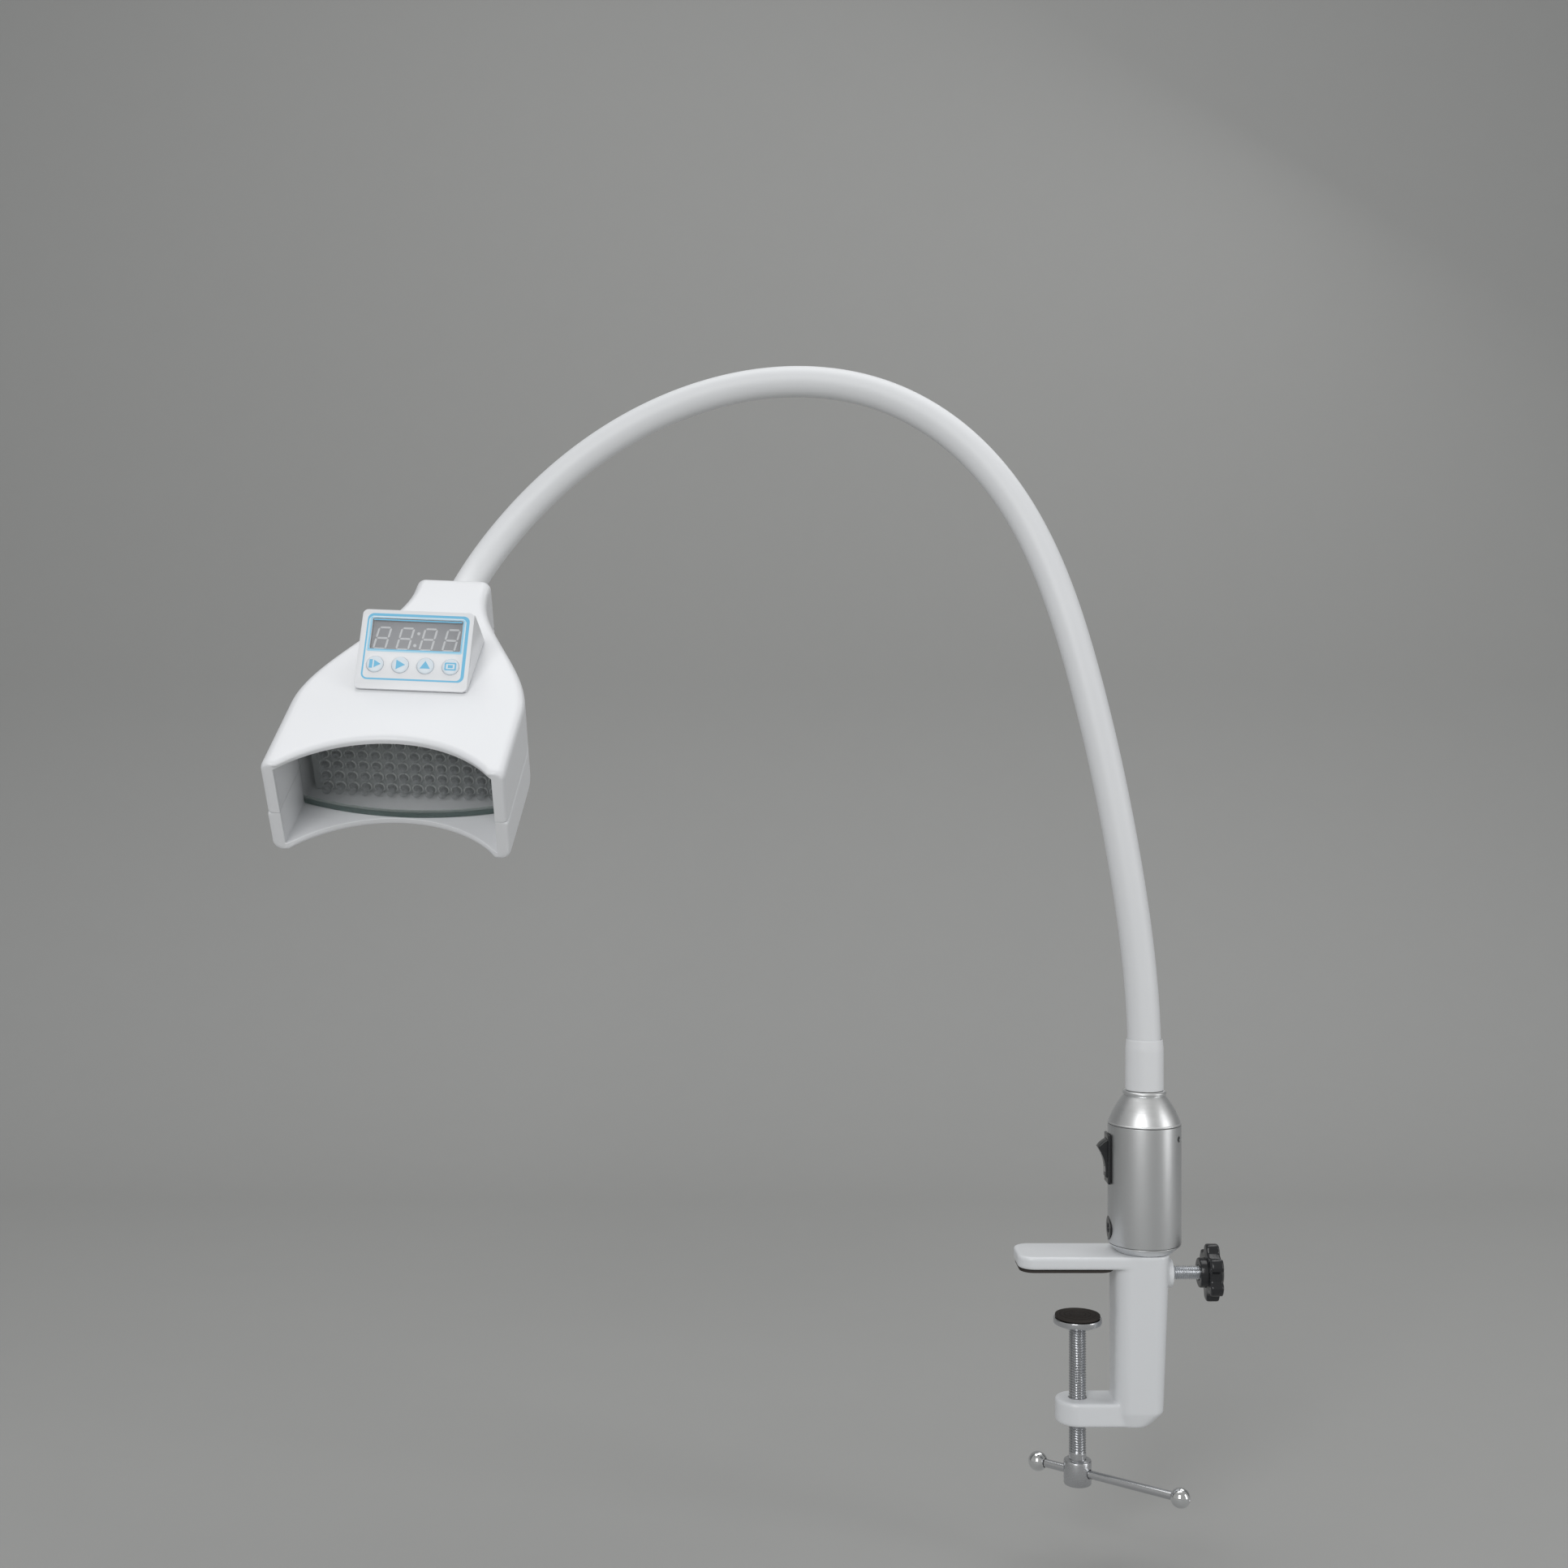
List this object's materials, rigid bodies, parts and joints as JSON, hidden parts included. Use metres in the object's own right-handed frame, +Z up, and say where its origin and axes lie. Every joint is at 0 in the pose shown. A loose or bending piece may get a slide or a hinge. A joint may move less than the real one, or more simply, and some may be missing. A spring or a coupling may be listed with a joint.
{
  "type": "desk clamp teeth whitening lamp",
  "caption": "White gooseneck lamp for teeth whitening: a hooded light head with a sloped timer panel, on a slim arching neck, a round metal post and a screw table clamp.",
  "frame": {"origin": "middle of the underside of the clamp's upper jaw pad, which lies on the table top", "axes": "+Z up along the post; -X from the post towards the lamp's head; +Y away from the operator, who stands in front"},
  "size_m": [0.528, 0.2236, 0.6676],
  "materials": {
    "white_abs": "satin white",
    "white_silicone": "matt white silicone",
    "white_paint": "smooth white powder coat",
    "satin_aluminium": "satin, fine turned lines",
    "steel": "bright",
    "chrome": "polished",
    "zinc": "bright zinc plate",
    "brass": "nickel-free turned brass",
    "black_plastic": "satin black",
    "black_rubber": "matt brown-black",
    "nylon": "natural",
    "clear_lens": "clear, blue-green tint",
    "board_white": "white solder mask",
    "board_green": "green solder mask",
    "display_grey": "grey display face",
    "window_smoke": "smoked clear window",
    "button_blue": "pale blue silicone",
    "lead_black": "matt black"
  },
  "bodies": {
    "clamp": {"clamp_body": "white_paint", "jaw_pad": "black_rubber"},
    "pressure_pad": {"pressure_pad": "steel", "press_rubber": "black_rubber"},
    "clamp_screw": {"clamp_screw": "steel"},
    "tommy_bar": {"tommy_bar": "steel", "tommy_ball_left": "chrome", "tommy_ball_right": "chrome"},
    "lock_tip": {"lock_tip": "nylon"},
    "lock_screw": {"lock_stud": "zinc", "lock_knob": "black_plastic"},
    "post": {"spigot": "steel", "post_base": "satin_aluminium", "spigot_nut": "zinc", "post_tube": "satin_aluminium", "post_cone": "satin_aluminium", "set_screw": "black_plastic", "switch_housing": "black_plastic", "dc_jack": "black_plastic", "dc_jack_nut": "zinc", "ferrule_lower": "brass", "ferrule_nut_lower": "zinc", "neck_collar": "white_silicone", "post_lead": "lead_black", "neck_sleeve_1": "white_silicone", "neck_hose_1": "steel"},
    "rocker": {"switch_rocker": "black_plastic"},
    "neck_2": {"neck_sleeve_2": "white_silicone", "neck_hose_2": "steel"},
    "neck_3": {"neck_sleeve_3": "white_silicone", "neck_hose_3": "steel"},
    "neck_4": {"neck_sleeve_4": "white_silicone", "neck_hose_4": "steel"},
    "neck_5": {"neck_sleeve_5": "white_silicone", "neck_hose_5": "steel"},
    "head": {"neck_sleeve_6": "white_silicone", "neck_hose_6": "steel", "ferrule_upper": "brass", "ferrule_nut_upper": "zinc", "head_lead": "lead_black", "head_upper_shell": "white_abs", "head_lower_shell": "white_abs", "shell_screw_1": "zinc", "shell_screw_2": "zinc", "shell_screw_3": "zinc", "shell_screw_4": "zinc", "lens": "clear_lens", "led_board": "board_white", "heat_sink": "satin_aluminium", "driver_board": "board_green", "control_pod": "white_abs", "panel_bezel": "white_abs", "display_window": "window_smoke", "display_module": "display_grey", "control_board": "board_green"},
    "button_1": {"button_1": "button_blue"},
    "button_2": {"button_2": "button_blue"},
    "button_3": {"button_3": "button_blue"},
    "button_4": {"button_4": "button_blue"}
  },
  "joints": [
    {"name": "press_slide", "type": "slide", "parent": "clamp", "child": "pressure_pad", "axis": [0, 0, 1], "range_m": [-0.039, 0.0215]},
    {"name": "clamp_screw_turn", "type": "hinge", "parent": "pressure_pad", "child": "clamp_screw", "pos_m": [0.008, 0, -0.028], "axis": [0, 0, 1], "range_deg": [-9350, 5150]},
    {"name": "tommy_slide", "type": "slide", "parent": "clamp_screw", "child": "tommy_bar", "axis": [0.7965, -0.6046, 0], "range_m": [-0.05, 0.012]},
    {"name": "lock_slide", "type": "slide", "parent": "clamp", "child": "lock_tip", "axis": [1, 0, 0], "range_m": [0, 0.003]},
    {"name": "lock_turn", "type": "hinge", "parent": "lock_tip", "child": "lock_screw", "pos_m": [0.0537, 0, -0.0039], "axis": [1, 0, 0], "range_deg": [0, 840]},
    {"name": "post_swivel", "type": "hinge", "parent": "clamp", "child": "post", "pos_m": [0.0467, 0, 0.0091], "axis": [0, 0, 1], "continuous": true},
    {"name": "switch_rock", "type": "hinge", "parent": "post", "child": "rocker", "pos_m": [0.0295, 0, 0.0626], "axis": [0, 1, 0], "range_deg": [0, 28]},
    {"name": "neck_bend_1", "type": "hinge", "parent": "post", "child": "neck_2", "pos_m": [0.03297, 0.00357, 0.25036], "axis": [-0.0072, -0.9981, 0.0619], "range_deg": [-20, 25]},
    {"name": "neck_bend_2", "type": "hinge", "parent": "neck_2", "child": "neck_3", "pos_m": [0.00417, 0.0197, 0.37934], "axis": [-0.0362, -0.9813, 0.189], "range_deg": [-25, 25]},
    {"name": "neck_bend_3", "type": "hinge", "parent": "neck_3", "child": "neck_4", "pos_m": [-0.05706, 0.05514, 0.49048], "axis": [-0.1161, -0.9348, 0.3356], "range_deg": [-25, 25]},
    {"name": "neck_turn_4", "type": "hinge", "parent": "neck_4", "child": "neck_5", "pos_m": [-0.17425, 0.09192, 0.53155], "axis": [-0.0087, -0.3769, -0.9262], "range_deg": [-25, 25]},
    {"name": "neck_bend_5", "type": "hinge", "parent": "neck_5", "child": "head", "pos_m": [-0.29502, 0.10208, 0.48178], "axis": [-0.2509, -0.9028, 0.3494], "range_deg": [-25, 25]},
    {"name": "button_1_press", "type": "slide", "parent": "head", "child": "button_1", "axis": [0.005, 0.9481, -0.318], "range_m": [0, 0.0007], "stiffness_N_per_m": 400},
    {"name": "button_2_press", "type": "slide", "parent": "head", "child": "button_2", "axis": [0.005, 0.9481, -0.318], "range_m": [0, 0.0007], "stiffness_N_per_m": 400},
    {"name": "button_3_press", "type": "slide", "parent": "head", "child": "button_3", "axis": [0.005, 0.9481, -0.318], "range_m": [0, 0.0007], "stiffness_N_per_m": 400},
    {"name": "button_4_press", "type": "slide", "parent": "head", "child": "button_4", "axis": [0.005, 0.9481, -0.318], "range_m": [0, 0.0007], "stiffness_N_per_m": 400}
  ],
  "couplings": [
    {"joint": "press_slide", "follows": "clamp_screw_turn", "m_per_rad": 0.00023873},
    {"joint": "lock_slide", "follows": "lock_turn", "m_per_rad": 0.00019894}
  ]
}
